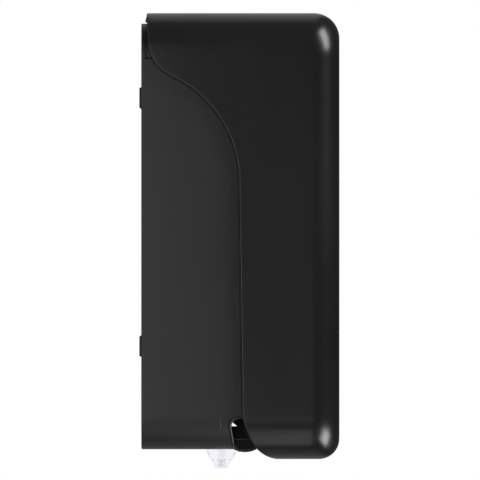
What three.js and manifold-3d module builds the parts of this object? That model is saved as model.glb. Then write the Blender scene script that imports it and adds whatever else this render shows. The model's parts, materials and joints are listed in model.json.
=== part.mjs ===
// A wall-mounted, push-operated soap dispenser with a bottom-hinged cover, in millimetres.
// X is across the wall, the wall is the plane Y = 0 and the front faces -Y, and Z is up.
// The origin is the centre of the upper wall pad, on the wall.
import * as THREE from "three";
import { mergeVertices } from "three/addons/utils/BufferGeometryUtils.js";
import Module from "manifold-3d";

// ---- Driving dimensions -------------------------------------------------------------------------

const GAP = 0.3; // clearance between fixed neighbours
const REACH = 10; // how far a cutting tool runs past what it cuts
const FAR = 60; // outside both flanks, where a cutting tool across the object ends

const COVER = { half: 50, low: -235.8, high: 55.3, back: 5, front: -130.5, lowCorner: 28, highCorner: 28 };
const COVER_EDGE = { side: 19, high: 16.5, low: 13.3 }; // radii round the front face
const COVER_WALL = 2.3;
const ROOF_LIP = { half: 20, back: -5, thickness: 3.8, lean: 1.3, gap: 1.2 }; // under the roof's rear edge

const HOUSING = { half: 46.6, low: -229.4, high: 48.4, back: -1.3, lowCorner: 24.6, highCorner: 22 };
const HOUSING_WALL = 2.4;
const BACK_FLANGE = 2.4; // thickness of the plate that shows behind the cover
const BACK_EDGE = 0.9; // rounding of the housing's rear edge
const LEDGE_Z = 25.8; // above it the housing is narrower, so that the cover closes over it
const UPPER_INSET = 2.4;
const FLOOR_FRONT = -76;
const WALL_FRONT = -80;
const SCOOP = { top: -209.4, bottom: -229.9, in: 31, rim: 1.8, proud: 0.6 }; // the lower corners' openings
const FLOOR_LIP = { y: -69, z: -215.5, r: 15.7, thickness: 1.9, from: -118.5, to: -61.9 };
const CORNER_BAR = { low: 37, high: 38.6, back: -55, front: -71.8, top: -222.8, bottom: -223.6 };
const KEYHOLES = { x: 24, z: 30, drop: 8, head: 4.5, neck: 2.4, lowerZ: -140, lowerHole: 2.6 };
const OUTLET_HOLE = 11.2;

const PAD = { half: 36, height: 13.5, thickness: 1.6, lowerZ: -162.1, pocket: 0.6 };

const COVER_HINGE = { y: -96, z: -222, pin: 2.5, ear: 7, sweep: 28.6, boss: 6.5, pinEnd: 42.6, holeEnd: 43 };
const CHASSIS = { inner: 32, outer: 35, top: -172, low: -222.6, foot: -229, back: -4.2, front: -105 };
const BACK_PLATE = 3;
const SHELF = { top: -192.5, thickness: 3, front: -72, slotFront: -100 };
const SCREWS = { x: 26, z: [-180, -215], shank: 1.7, hole: 2, head: 3.4, headHeight: 2 };

const NOZZLE_Y = -53.5;
const STEM = 6;
const NOZZLE_FLANGE = { r: 12, top: -203, bottom: -205.4 };
const NECK = { outer: 15, inner: 12.4, mouth: -185.5, shoulder: -168 };
const BOTTLE = { halfX: 37, halfY: 47.5, y: -56.5, low: -150, high: 18, corner: 14, wall: 1.4 };
const COLLAR = { r: 18.5, top: -171.5, bottom: -192, bore: 15.4, mouth: 9, lip: 2.2 };
const PUMP = { outer: 10, bore: 8.2, seat: -140, top: -128, flangeTop: -187.3, flangeBottom: -189.5 };
const PISTON_TOP = -164;
const SEAL = { low: -171, bore: 3.7, lips: 7.9, waist: 7.2 };
const SPRING = { coil: 6.4, wire: 0.7, turns: 6 };

const LEVER = { y: -99, z: -178, pin: 2, hub: 5, half: 31, armIn: 7.5, armOut: 13 };
const LEVER_TIP = { y: -110.1, z: -213.5, r: 2.5 };
const FORK = { top: -207.4, bottom: -210.4, back: -45.5, nub: 1.7 };

const PADDLE = { half: 31.2, low: -218.2, high: -122.8, corner: 9, plate: 2.8 };
const PADDLE_RIM = { skirt: 2, depth: 8.5, gap: 0.8 };
const PADDLE_HINGE = { y: -121, z: -116, pin: 1.6, knuckle: 4, armIn: 24, armOut: 28.7, bossOut: 33 };
const PUSHER = { half: 5, low: -216.5, high: -209.5, back: -113.3 };

const WINDOW = { half: 6, low: -92, high: -28, flange: 3, inset: 0.4 };
const LOCK = { y: -30, body: 7, shoulder: 9.5, bore: 5, bottom: 38, cam: 20 };

const CORNER_STEPS = 7;
const EDGE_STEPS = 5;
const BOTTLE_STEPS = 5;
const TURN = 24; // facets round a turned piece
const PIN_TURN = 16; // facets round a pin, and round the hole it turns in
const SWING_TURN = 64; // facets round the path of the cover's corner
const CURVE = 4; // facets along one curve of an outline, and twice as many along an arc
const SIDE_CURVE = 12; // facets along one curve of the cover's and housing's side views

// ---- Solids -------------------------------------------------------------------------------------

const wasm = await Module();
wasm.setup();

// A closed geometry as a solid whose faces point outwards.
function solid(geometry) {
  const bare = geometry.clone();
  bare.deleteAttribute("normal");
  bare.deleteAttribute("uv");
  const merged = mergeVertices(bare, 1e-4);
  const corners = merged.index.array;
  const faces = [];
  for (let i = 0; i < corners.length; i += 3) {
    const [a, b, c] = [corners[i], corners[i + 1], corners[i + 2]];
    if (a !== b && b !== c && c !== a) faces.push(a, b, c);
  }
  const build = (order) =>
    new wasm.Manifold(
      new wasm.Mesh({
        numProp: 3,
        vertProperties: merged.attributes.position.array,
        triVerts: new Uint32Array(order),
      }),
    );
  const made = build(faces);
  return made.volume() > 0 ? made : build(faces.reverse());
}

const join = (first, ...rest) => rest.reduce((whole, next) => whole.add(next), first);
const cut = (first, ...rest) => rest.reduce((whole, next) => whole.subtract(next), first);

// Outlines drawn in (y, z), (x, z) and (x, y), and pushed along the axis that is left.
const ALONG_X = new THREE.Matrix4().makeBasis(
  new THREE.Vector3(0, 1, 0),
  new THREE.Vector3(0, 0, 1),
  new THREE.Vector3(1, 0, 0),
);
const ALONG_Y = new THREE.Matrix4().makeBasis(
  new THREE.Vector3(1, 0, 0),
  new THREE.Vector3(0, 0, 1),
  new THREE.Vector3(0, -1, 0),
);

const extrude = (shape, depth, curveSegments = CURVE) =>
  new THREE.ExtrudeGeometry(shape, { depth, bevelEnabled: false, curveSegments });
const prismX = (shape, low, high, facets) =>
  solid(extrude(shape, high - low, facets).applyMatrix4(ALONG_X).translate(low, 0, 0));
const prismY = (shape, low, high) =>
  solid(extrude(shape, high - low).applyMatrix4(ALONG_Y).translate(0, high, 0));

// The same prism at the left and at the right, from |x| = low to |x| = high.
const pairX = (shape, low, high) => join(prismX(shape, low, high), prismX(shape, -high, -low));

function box(lowX, highX, lowY, highY, lowZ, highZ) {
  const block = new THREE.BoxGeometry(highX - lowX, highY - lowY, highZ - lowZ);
  return solid(block.translate((lowX + highX) / 2, (lowY + highY) / 2, (lowZ + highZ) / 2));
}

function rodX(radius, low, high, y, z, facets = PIN_TURN) {
  const rod = new THREE.CylinderGeometry(radius, radius, high - low, facets).rotateZ(Math.PI / 2);
  return solid(rod.translate((low + high) / 2, y, z));
}

function rodY(radius, low, high, x, z, facets = PIN_TURN) {
  const rod = new THREE.CylinderGeometry(radius, radius, high - low, facets);
  return solid(rod.translate(x, (low + high) / 2, z));
}

function rodZ(radius, low, high, x, y, facets = TURN) {
  const rod = new THREE.CylinderGeometry(radius, radius, high - low, facets).rotateX(Math.PI / 2);
  return solid(rod.translate(x, y, (low + high) / 2));
}

// A profile of [radius, z] points turned about a vertical axis at (0, y).
function turned(profile, y, facets = TURN) {
  const points = profile.map(([r, z]) => new THREE.Vector2(r, z));
  return solid(new THREE.LatheGeometry(points, facets).rotateX(Math.PI / 2).translate(0, y, 0));
}

// A turned profile that closes on itself, as a ring's does.
const ring = (profile, y, facets) => turned([...profile, profile[0]], y, facets);

function polygon(points) {
  return new THREE.Shape(points.map(([u, v]) => new THREE.Vector2(u, v)));
}

function roundedRectangle(lowU, highU, lowV, highV, r) {
  const shape = new THREE.Shape();
  shape.absarc(highU - r, highV - r, r, 0, Math.PI / 2);
  shape.absarc(lowU + r, highV - r, r, Math.PI / 2, Math.PI);
  shape.absarc(lowU + r, lowV + r, r, Math.PI, 1.5 * Math.PI);
  shape.absarc(highU - r, lowV + r, r, 1.5 * Math.PI, 2 * Math.PI);
  return shape;
}

// One rounded rectangle of a block, at depth y. The centres of its corners stay where they are, and
// the radii shrink by the insets, so that the edges of the front face are rounded too.
function sectionAt(block, y, inset) {
  const points = [];
  for (let quarter = 0; quarter < 4; quarter++) {
    const right = quarter === 0 || quarter === 3;
    const upper = quarter < 2;
    const corner = upper ? block.highCorner : block.lowCorner;
    const centreX = (right ? 1 : -1) * (block.half - corner);
    const centreZ = upper ? block.high - corner : block.low + corner;
    for (let step = 0; step <= CORNER_STEPS; step++) {
      const angle = ((quarter + step / CORNER_STEPS) * Math.PI) / 2;
      const x = centreX + (corner - inset.side) * Math.cos(angle);
      const z = centreZ + (corner - (upper ? inset.high : inset.low)) * Math.sin(angle);
      points.push([x, y, z]);
    }
  }
  return points;
}

// Rings of points skinned one to the next, with a flat cap at each end.
function loft(rings) {
  const count = rings[0].length;
  const index = [];
  for (let r = 0; r < rings.length - 1; r++) {
    for (let i = 0; i < count; i++) {
      const a = r * count + i;
      const b = r * count + ((i + 1) % count);
      index.push(a, b, b + count, a, b + count, a + count);
    }
  }
  const last = (rings.length - 1) * count;
  for (let i = 1; i < count - 1; i++) {
    index.push(0, i + 1, i);
    index.push(last, last + i, last + i + 1);
  }
  const geometry = new THREE.BufferGeometry();
  geometry.setAttribute("position", new THREE.Float32BufferAttribute(rings.flat(2), 3));
  geometry.setIndex(index);
  return solid(geometry);
}

const NO_INSET = { side: 0, high: 0, low: 0 };

// A block whose front face has rounded edges.
function crownedBlock(block, edge) {
  const deepest = Math.max(edge.side, edge.high, edge.low);
  const insetAt = (radius, depth) =>
    depth < radius ? radius - Math.sqrt(radius * radius - (radius - depth) ** 2) : 0;
  const rings = [sectionAt(block, block.back, NO_INSET)];
  for (let step = EDGE_STEPS; step >= 0; step--) {
    const depth = deepest * (1 - Math.cos((step / EDGE_STEPS) * (Math.PI / 2)));
    const inset = {
      side: insetAt(edge.side, depth),
      high: insetAt(edge.high, depth),
      low: insetAt(edge.low, depth),
    };
    rings.push(sectionAt(block, block.front + depth, inset));
  }
  return loft(rings);
}

// A plain block from y = back forwards to y = front, with a rounded rear edge.
function plainBlock(block, front, rounding = 0) {
  const rings = [];
  if (rounding) rings.push(sectionAt(block, block.back, { side: rounding, high: rounding, low: rounding }));
  rings.push(sectionAt(block, block.back - rounding, NO_INSET), sectionAt(block, front, NO_INSET));
  return loft(rings);
}

// A block made smaller all round by a wall.
const shrink = (block, wall) => ({
  ...block,
  half: block.half - wall,
  low: block.low + wall,
  high: block.high - wall,
  lowCorner: block.lowCorner - wall,
  highCorner: block.highCorner - wall,
});

// ---- Sub-parts ----------------------------------------------------------------------------------

const group = new THREE.Group();

const finishes = {
  cover: { color: 0x1d1d1e, roughness: 0.38, metalness: 0 },
  housing: { color: 0x2a2a2b, roughness: 0.45, metalness: 0 },
  paddle: { color: 0x202021, roughness: 0.4, metalness: 0 },
  chassis: { color: 0x161617, roughness: 0.55, metalness: 0 },
  lever: { color: 0x303032, roughness: 0.5, metalness: 0 },
  clear: { color: 0x3a3d40, roughness: 0.1, metalness: 0 },
  translucent: { color: 0xeeeaf0, roughness: 0.35, metalness: 0 },
  bottle: { color: 0xe6e8e6, roughness: 0.4, metalness: 0 },
  rubber: { color: 0x0f0f10, roughness: 0.8, metalness: 0 },
  silicone: { color: 0xd9d6d2, roughness: 0.6, metalness: 0 },
  steel: { color: 0xb9bcc0, roughness: 0.3, metalness: 1 },
};

function add(name, made, finish) {
  const mesh = made.getMesh();
  const geometry = new THREE.BufferGeometry();
  geometry.setAttribute("position", new THREE.BufferAttribute(mesh.vertProperties, 3));
  geometry.setIndex(new THREE.BufferAttribute(mesh.triVerts, 1));
  geometry.computeVertexNormals();
  const part = new THREE.Mesh(geometry, new THREE.MeshStandardMaterial(finishes[finish]));
  part.name = name;
  group.add(part);
}

// The side view of the cover: everything in front of one long S, which starts behind the top
// edge, swings forwards over the housing, runs down it and rolls into the bottom.
function coverSide() {
  const shape = new THREE.Shape();
  shape.moveTo(-4.7, COVER.high + REACH);
  shape.lineTo(-4.7, COVER.high);
  shape.lineTo(-5.6, 40);
  shape.bezierCurveTo(-5.5, 22.5, -13.1, 17.4, -26, 11.2);
  shape.bezierCurveTo(-42.4, 2, -64.8, -20, -64.8, -55.4);
  shape.lineTo(-67, -203.9);
  shape.bezierCurveTo(-67.7, -219, -74.8, -234, -88.5, COVER.low);
  shape.lineTo(-88.5, COVER.low - REACH);
  shape.lineTo(COVER.front - REACH, COVER.low - REACH);
  shape.lineTo(COVER.front - REACH, COVER.high + REACH);
  return shape;
}

// The lug on the inside of the cover that holds one end of the paddle's pin.
function paddleBoss() {
  const { y, z } = PADDLE_HINGE;
  const r = PADDLE_HINGE.knuckle + 0.5;
  const wall = COVER.front + COVER_WALL - GAP;
  const shape = new THREE.Shape();
  shape.moveTo(wall, z + 10);
  shape.lineTo(y, z + r);
  shape.absarc(y, z, r, Math.PI / 2, -Math.PI / 2, true);
  shape.lineTo(wall, z - r);
  return shape;
}

// The lip under the rear edge of the cover's roof. It leans back a little, just above the housing.
function roofLip() {
  const { half, back, thickness, lean, gap } = ROOF_LIP;
  const [root, edge] = [COVER.high - 0.5, HOUSING.high + gap];
  const shape = polygon([
    [back, root],
    [back + lean, edge],
    [back + lean - thickness, edge],
    [back - thickness, root],
  ]);
  return prismX(shape, -half, half);
}

function frontCover() {
  const { front } = COVER;
  const inner = { ...shrink(COVER, COVER_WALL), back: COVER.back + REACH, front: front + COVER_WALL };
  const innerEdge = {
    side: COVER_EDGE.side - COVER_WALL,
    high: COVER_EDGE.high - COVER_WALL,
    low: COVER_EDGE.low - COVER_WALL,
  };
  const outside = crownedBlock(COVER, COVER_EDGE);
  const hinge = COVER_HINGE;
  const bossIn = CHASSIS.outer + 2 * GAP;
  const hingeBosses = join(
    rodX(hinge.boss, bossIn, COVER.half, hinge.y, hinge.z),
    rodX(hinge.boss, -COVER.half, -bossIn, hinge.y, hinge.z),
  ).intersect(outside);
  const { armOut, bossOut, pin } = PADDLE_HINGE;
  const inFrontOfEdge = prismX(coverSide(), -FAR, FAR, SIDE_CURVE);
  const shell = cut(outside, crownedBlock(inner, innerEdge)).intersect(inFrontOfEdge);
  const { half, low, high, corner } = PADDLE;
  const { gap } = PADDLE_RIM;
  const paddleHole = roundedRectangle(-half - gap, half + gap, low - gap, high + gap, corner + gap);
  const slot = roundedRectangle(-WINDOW.half, WINDOW.half, WINDOW.low, WINDOW.high, WINDOW.half);
  const pinHole = hinge.pin + GAP;
  const wallBack = front + COVER_WALL + 1;
  return cut(
    join(shell, hingeBosses, pairX(paddleBoss(), armOut + 2 * GAP, bossOut), roofLip()),
    prismY(paddleHole, front - REACH, wallBack),
    prismY(slot, front - REACH, wallBack),
    rodZ(LOCK.body + GAP, COVER.high - REACH, COVER.high + REACH, 0, LOCK.y),
    rodX(pinHole, bossIn - 1, hinge.holeEnd, hinge.y, hinge.z),
    rodX(pinHole, -hinge.holeEnd, 1 - bossIn, hinge.y, hinge.z),
    rodX(pin + GAP, -bossOut - 1, bossOut + 1, PADDLE_HINGE.y, PADDLE_HINGE.z),
  );
}

// The side view of the housing: it follows the cover's S about 12 mm further forward, hidden by
// the cover, and stops short of the cover's lower corner, which swings past it.
function housingSide() {
  const shape = new THREE.Shape();
  shape.moveTo(REACH, HOUSING.high + REACH);
  shape.lineTo(REACH, HOUSING.low - REACH);
  shape.lineTo(FLOOR_FRONT, HOUSING.low - REACH);
  shape.lineTo(FLOOR_FRONT, -204);
  shape.lineTo(WALL_FRONT, -199);
  shape.lineTo(WALL_FRONT, -58);
  shape.bezierCurveTo(WALL_FRONT, -14, -52, 4, -34, 18);
  shape.bezierCurveTo(-22, 27, -18, 36, -18, HOUSING.high + REACH);
  return shape;
}

// The opening in the housing's lower corner, which the cover's corner swings into. `grow` widens
// it to the outside of its rim.
function scoop(grow) {
  const top = SCOOP.top + grow;
  const bottom = SCOOP.bottom - grow;
  const shape = new THREE.Shape();
  shape.moveTo(-110, top);
  shape.lineTo(-66.5, top);
  shape.bezierCurveTo(-62.3 + grow * 0.6, top, -60 + grow, -211.5 + grow, -60.1 + grow, -214.8);
  shape.lineTo(-61.7 + grow, -224);
  shape.bezierCurveTo(-62.6 + grow, -228.6 - grow * 0.4, -65.8 + grow * 0.5, bottom, -70, bottom);
  shape.lineTo(-110, bottom);
  return shape;
}

// The floor's front edge dips in a shallow arc below the housing.
function floorLip() {
  const { y, z, r, thickness } = FLOOR_LIP;
  const [from, to] = [FLOOR_LIP.from, FLOOR_LIP.to].map(THREE.MathUtils.degToRad);
  const shape = new THREE.Shape();
  shape.absarc(y, z, r, from, to, false);
  shape.absarc(y, z, r - thickness, to, from, true);
  return shape;
}

// A keyhole for a wall screw's head above, and a plain screw hole below, on each side.
function wallHoles(side) {
  const { z, drop, head, neck, lowerZ, lowerHole } = KEYHOLES;
  const x = side * KEYHOLES.x;
  return join(
    rodY(head, -REACH, REACH, x, z - drop),
    rodY(neck, -REACH, REACH, x, z),
    box(x - neck, x + neck, -REACH, REACH, z - drop, z),
    rodY(lowerHole, -REACH, REACH, x, lowerZ),
  );
}

const screwHoles = () =>
  SCREWS.z.flatMap((z) => [-1, 1].map((side) => rodY(SCREWS.hole, -REACH, REACH, side * SCREWS.x, z)));

function padPocket(z) {
  const { half, height, pocket } = PAD;
  const shape = roundedRectangle(-half - GAP, half + GAP, z - height / 2 - GAP, z + height / 2 + GAP, 3);
  return prismY(shape, HOUSING.back - pocket, REACH);
}

// The bead round each lower opening, as far as it stands proud of the housing.
function scoopRim(room, front) {
  const around = plainBlock({ ...shrink(HOUSING, -SCOOP.proud), back: HOUSING.back }, front);
  const visible = box(-FAR, FAR, -66.5, -50, HOUSING.low - REACH, SCOOP.top + REACH);
  return cut(pairX(scoop(SCOOP.rim), SCOOP.in, FAR), pairX(scoop(0), SCOOP.in - 1, FAR + 1), room)
    .intersect(around)
    .intersect(visible);
}

// A thin bar across each lower opening.
function cornerBars() {
  const { low, high, back, front, top, bottom } = CORNER_BAR;
  return pairX(polygon([[back, bottom], [back, top], [front, top], [front, bottom]]), low, high);
}

function rearHousing() {
  const flangeFront = HOUSING.back - BACK_FLANGE;
  const flange = plainBlock(HOUSING, flangeFront, BACK_EDGE);
  const lower = { ...HOUSING, high: LEDGE_Z, highCorner: 1.2 };
  const upper = {
    ...HOUSING,
    half: HOUSING.half - UPPER_INSET,
    low: LEDGE_Z - REACH,
    lowCorner: 0.5,
    highCorner: 21,
  };
  const side = prismX(housingSide(), -FAR, FAR, SIDE_CURVE);
  const front = COVER.front + REACH;
  const walls = join(plainBlock(lower, front, BACK_EDGE), plainBlock(upper, front)).intersect(side);
  const inside = flangeFront - 0.1;
  const lowerInside = { ...shrink(lower, HOUSING_WALL), highCorner: 0.5, back: inside };
  const upperInside = { ...shrink(upper, HOUSING_WALL), lowCorner: 0.5, back: inside };
  upperInside.low = LEDGE_Z - 2 * REACH;
  const lowerRoom = plainBlock(lowerInside, front - REACH);
  const upperRoom = plainBlock(upperInside, front - REACH);
  const { y, z, sweep } = COVER_HINGE;
  const swing = join(
    rodX(sweep, SCOOP.in, FAR, y, z, SWING_TURN),
    rodX(sweep, -FAR, -SCOOP.in, y, z, SWING_TURN),
  );
  return cut(
    join(
      cut(join(flange, walls), lowerRoom, upperRoom, pairX(scoop(0), SCOOP.in, FAR), swing),
      scoopRim(lowerRoom, front),
      cornerBars(),
      prismX(floorLip(), -SCOOP.in, SCOOP.in),
    ),
    rodZ(OUTLET_HOLE, HOUSING.low - REACH, HOUSING.low + REACH, 0, NOZZLE_Y),
    padPocket(0),
    padPocket(PAD.lowerZ),
    wallHoles(-1),
    wallHoles(1),
    ...screwHoles(),
  );
}

function wallPad(z) {
  const { half, height, thickness } = PAD;
  return prismY(roundedRectangle(-half, half, z - height / 2, z + height / 2, 2.7), -thickness, 0);
}

// The moulded carrier inside: two side plates that end in the cover's hinge ears, a back plate
// and a shelf that the bottle's collar stands on.
function chassisPlate() {
  const { y, z, ear } = COVER_HINGE;
  const { back, front, top, low, foot } = CHASSIS;
  const shape = new THREE.Shape();
  shape.moveTo(back, top);
  shape.lineTo(front, top);
  shape.lineTo(front, -200);
  shape.lineTo(y - ear - 1, -200);
  shape.lineTo(y - ear, z);
  shape.absarc(y, z, ear, Math.PI, 2 * Math.PI, false);
  shape.lineTo(y + 5, -205);
  shape.lineTo(y + 5, -200);
  shape.lineTo(-74.4, -200);
  shape.lineTo(-74.4, foot);
  shape.lineTo(-64.5, foot);
  shape.lineTo(-62.6, low);
  shape.lineTo(back, low);
  const window = new THREE.Path();
  window.moveTo(-30, -214.9);
  window.lineTo(-64.5, -214.9);
  window.lineTo(-56.8, -208.6);
  window.lineTo(-30, -208.6);
  shape.holes.push(window);
  return shape;
}

function pumpChassis() {
  const { inner, outer, back, top, low } = CHASSIS;
  const shelfLow = SHELF.top - SHELF.thickness;
  const room = NOZZLE_FLANGE.r + 1;
  return cut(
    join(
      pairX(chassisPlate(), inner, outer),
      box(-outer, outer, back - BACK_PLATE, back, low, top),
      box(-outer, outer, SHELF.front, back, shelfLow, SHELF.top),
    ),
    rodZ(room, shelfLow - 1, SHELF.top + 1, 0, NOZZLE_Y),
    box(-room, room, SHELF.slotFront, NOZZLE_Y, shelfLow - 1, SHELF.top + 1),
    rodX(COVER_HINGE.pin + 0.12, -FAR, FAR, COVER_HINGE.y, COVER_HINGE.z),
    rodX(LEVER.pin + GAP, -FAR, FAR, LEVER.y, LEVER.z),
    ...screwHoles(),
  );
}

function chassisScrew(x, z) {
  const headBack = CHASSIS.back - BACK_PLATE - GAP;
  const shank = rodY(SCREWS.shank, headBack - 1, HOUSING.back - GAP, x, z, 16);
  const head = rodY(SCREWS.head, headBack - SCREWS.headHeight, headBack, x, z);
  const cross = join(
    box(x - 2.2, x + 2.2, headBack - 4, headBack - 1.1, z - 0.45, z + 0.45),
    box(x - 0.45, x + 0.45, headBack - 4, headBack - 1.1, z - 2.2, z + 2.2),
  );
  return cut(join(shank, head), cross);
}

// A rounded horizontal section of the bottle, `inset` inside its outer wall.
function bottleSection(z, inset, scale = 1) {
  const { halfX, halfY, y, corner } = BOTTLE;
  const points = [];
  for (let quarter = 0; quarter < 4; quarter++) {
    const signX = quarter === 0 || quarter === 3 ? 1 : -1;
    const signY = quarter < 2 ? 1 : -1;
    for (let step = 0; step <= BOTTLE_STEPS; step++) {
      const angle = ((quarter + step / BOTTLE_STEPS) * Math.PI) / 2;
      const fullX = signX * (halfX - corner) + (corner - inset) * Math.cos(angle);
      const fullY = y + signY * (halfY - corner) + (corner - inset) * Math.sin(angle);
      points.push([fullX * scale, NOZZLE_Y + (fullY - NOZZLE_Y) * scale, z]);
    }
  }
  return points;
}

function bottleBody(inset) {
  const { low, high } = BOTTLE;
  return loft([
    bottleSection(NECK.shoulder + inset, inset, 0.36),
    bottleSection(low - 4 + inset, inset, 0.9),
    bottleSection(low + 4, inset),
    bottleSection(high - 6, inset),
    bottleSection(high - inset, inset, 0.93),
  ]);
}

function reservoirBottle() {
  const { wall } = BOTTLE;
  const neck = rodZ(NECK.outer, NECK.mouth, BOTTLE.low, 0, NOZZLE_Y);
  const throat = rodZ(NECK.inner, NECK.mouth - 1, BOTTLE.low + 4, 0, NOZZLE_Y);
  return cut(join(bottleBody(0), neck), bottleBody(wall), throat);
}

function neckGasket() {
  const [low, high] = [PUMP.flangeTop + GAP, NECK.mouth - GAP];
  const [inner, outer] = [NECK.inner + 0.2, NECK.outer];
  return ring([[inner, low], [outer, low], [outer, high], [inner, high]], NOZZLE_Y);
}

function bottleCollar() {
  const { r, top, bottom, bore, mouth, lip } = COLLAR;
  const profile = [
    [mouth, bottom],
    [r - 0.8, bottom],
    [r, bottom + 0.8],
    [r - 0.6, top],
    [bore, top],
    [bore, bottom + lip],
    [mouth, bottom + lip],
  ];
  return ring(profile, NOZZLE_Y);
}

function pumpCylinder() {
  const { outer, bore, seat, top, flangeTop, flangeBottom } = PUMP;
  const profile = [
    [bore, flangeBottom],
    [NECK.outer, flangeBottom],
    [NECK.outer, flangeTop],
    [outer, flangeTop],
    [outer, seat + 1],
    [6, seat + 4],
    [6, top],
    [2.2, top],
    [2.2, top - 2],
    [4, top - 3],
    [4, seat],
    [bore, seat],
  ];
  return ring(profile, NOZZLE_Y);
}

function inletBall() {
  return solid(new THREE.SphereGeometry(3, 16, 10).translate(0, NOZZLE_Y, PUMP.seat + 6));
}

function pistonRod() {
  const profile = [
    [1.6, PISTON_TOP],
    [1.6, -208],
    [3.6, -208],
    [3.6, -200],
    [5.4, -200],
    [5.4, SEAL.low],
    [3.4, SEAL.low],
    [3.4, PISTON_TOP - 2],
    [7.6, PISTON_TOP - 2],
    [7.6, PISTON_TOP],
  ];
  return ring(profile, NOZZLE_Y);
}

function pistonSeal() {
  const [low, high] = [SEAL.low + GAP, PISTON_TOP - 2 - GAP];
  const { bore, lips, waist } = SEAL;
  const profile = [
    [bore, low],
    [lips, low],
    [waist, low + 1.6],
    [waist, high - 1.2],
    [lips, high],
    [bore, high],
  ];
  return ring(profile, NOZZLE_Y);
}

class Helix extends THREE.Curve {
  constructor(radius, low, high, turns) {
    super();
    Object.assign(this, { radius, low, high, turns });
  }

  getPoint(t, target = new THREE.Vector3()) {
    const angle = t * this.turns * 2 * Math.PI;
    const z = this.low + t * (this.high - this.low);
    return target.set(this.radius * Math.cos(angle), NOZZLE_Y + this.radius * Math.sin(angle), z);
  }
}

function pumpSpring() {
  const { coil, wire, turns } = SPRING;
  const path = new Helix(coil, PISTON_TOP + wire + GAP, PUMP.seat - wire - GAP, turns);
  const section = new THREE.Shape().absarc(0, 0, wire, 0, 2 * Math.PI);
  const settings = { steps: turns * 12, extrudePath: path, bevelEnabled: false, curveSegments: 3 };
  return solid(new THREE.ExtrudeGeometry(section, settings));
}

// The outlet: a stem with a flange that the lever lifts, and a stepped cone below the housing.
function nozzle() {
  const { r, top, bottom } = NOZZLE_FLANGE;
  const profile = [
    [3.9, -200.3],
    [STEM, -200.3],
    [STEM, top],
    [r, top],
    [r, bottom],
    [STEM, bottom],
    [STEM, -221.5],
    [9.9, -225],
    [9.6, -231.6],
    [8.4, -233],
    [8, -235.6],
    [6.1, -236.6],
    [5.7, -238.4],
    [4.5, -239.4],
    [4.2, -242.1],
    [2.9, -242.1],
    [2.9, -236],
    [2, -236],
    [2, -208.6],
    [3.9, -208.6],
  ];
  return ring(profile, NOZZLE_Y);
}

function outletValve() {
  return ring([[0.5, -240.6], [1.4, -240.6], [2.55, -237.2], [2.55, -236.4], [0.5, -236.4]], NOZZLE_Y, 20);
}

// The side view of one fork arm, from the hub down to the tine under the nozzle's flange.
function forkArm() {
  return polygon([
    [LEVER.y - 3, LEVER.z - 3],
    [-73.5, FORK.bottom],
    [FORK.back, FORK.bottom],
    [FORK.back, FORK.top],
    [-71.5, FORK.top],
    [LEVER.y + 3.5, LEVER.z + 2.5],
  ]);
}

function pushArm() {
  const { y, z, r } = LEVER_TIP;
  return polygon([
    [LEVER.y - 4.6, LEVER.z],
    [y - r + 0.3, z],
    [y + r - 0.3, z],
    [LEVER.y + 1.5, LEVER.z - 3],
  ]);
}

function dispenseLever() {
  const { y, z, pin, hub, half, armIn, armOut } = LEVER;
  const nubY = NOZZLE_Y - 2;
  const nubZ = FORK.top + 0.02;
  const tip = LEVER_TIP;
  return cut(
    join(
      rodX(hub, -half, half, y, z, TURN),
      pairX(forkArm(), armIn, armOut),
      prismX(pushArm(), -armOut, armOut),
      rodX(tip.r, -armOut, armOut, tip.y, tip.z),
      rodX(FORK.nub, armIn, armOut, nubY, nubZ),
      rodX(FORK.nub, -armOut, -armIn, nubY, nubZ),
    ),
    rodX(pin + 0.12, -half - 1, half + 1, y, z),
  );
}

const leverPin = () => rodX(LEVER.pin, -CHASSIS.outer - 1.5, CHASSIS.outer + 1.5, LEVER.y, LEVER.z);

function hingePin(side) {
  const { y, z, pin, pinEnd: high } = COVER_HINGE;
  const low = CHASSIS.inner - 1.5;
  return side > 0 ? rodX(pin, low, high, y, z) : rodX(pin, -high, -low, y, z);
}

// An arm on the paddle's back, up behind the cover to the pin.
function paddleArm(back) {
  const { y, z, knuckle } = PADDLE_HINGE;
  const shape = new THREE.Shape();
  shape.moveTo(back - GAP, z - 22);
  shape.lineTo(back + 0.4, z - 6);
  shape.lineTo(y - knuckle, z);
  shape.absarc(y, z, knuckle, Math.PI, 0, true);
  shape.lineTo(y, z - 9);
  shape.lineTo(y - 3, z - 22);
  return shape;
}

function pushPaddle() {
  const { half, low, high, corner, plate } = PADDLE;
  const { skirt, depth } = PADDLE_RIM;
  const face = roundedRectangle(-half, half, low, high, corner);
  const hollow = roundedRectangle(-half + skirt, half - skirt, low + skirt, high - skirt, corner - skirt);
  const back = COVER.front + plate;
  const { armIn, armOut, pin } = PADDLE_HINGE;
  const tray = cut(
    prismY(face, COVER.front, COVER.front + depth),
    prismY(hollow, back, back + REACH),
  );
  const spine = polygon([
    [back - GAP, -204],
    [back - GAP, low + 1],
    [PUSHER.back, PUSHER.low],
    [PUSHER.back, PUSHER.high],
  ]);
  return cut(
    join(tray, pairX(paddleArm(back), armIn, armOut), prismX(spine, -PUSHER.half, PUSHER.half)),
    rodX(pin + 0.12, -armOut - 1, armOut + 1, PADDLE_HINGE.y, PADDLE_HINGE.z),
  );
}

const paddlePin = () =>
  rodX(PADDLE_HINGE.pin, -PADDLE_HINGE.bossOut, PADDLE_HINGE.bossOut, PADDLE_HINGE.y, PADDLE_HINGE.z);

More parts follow.
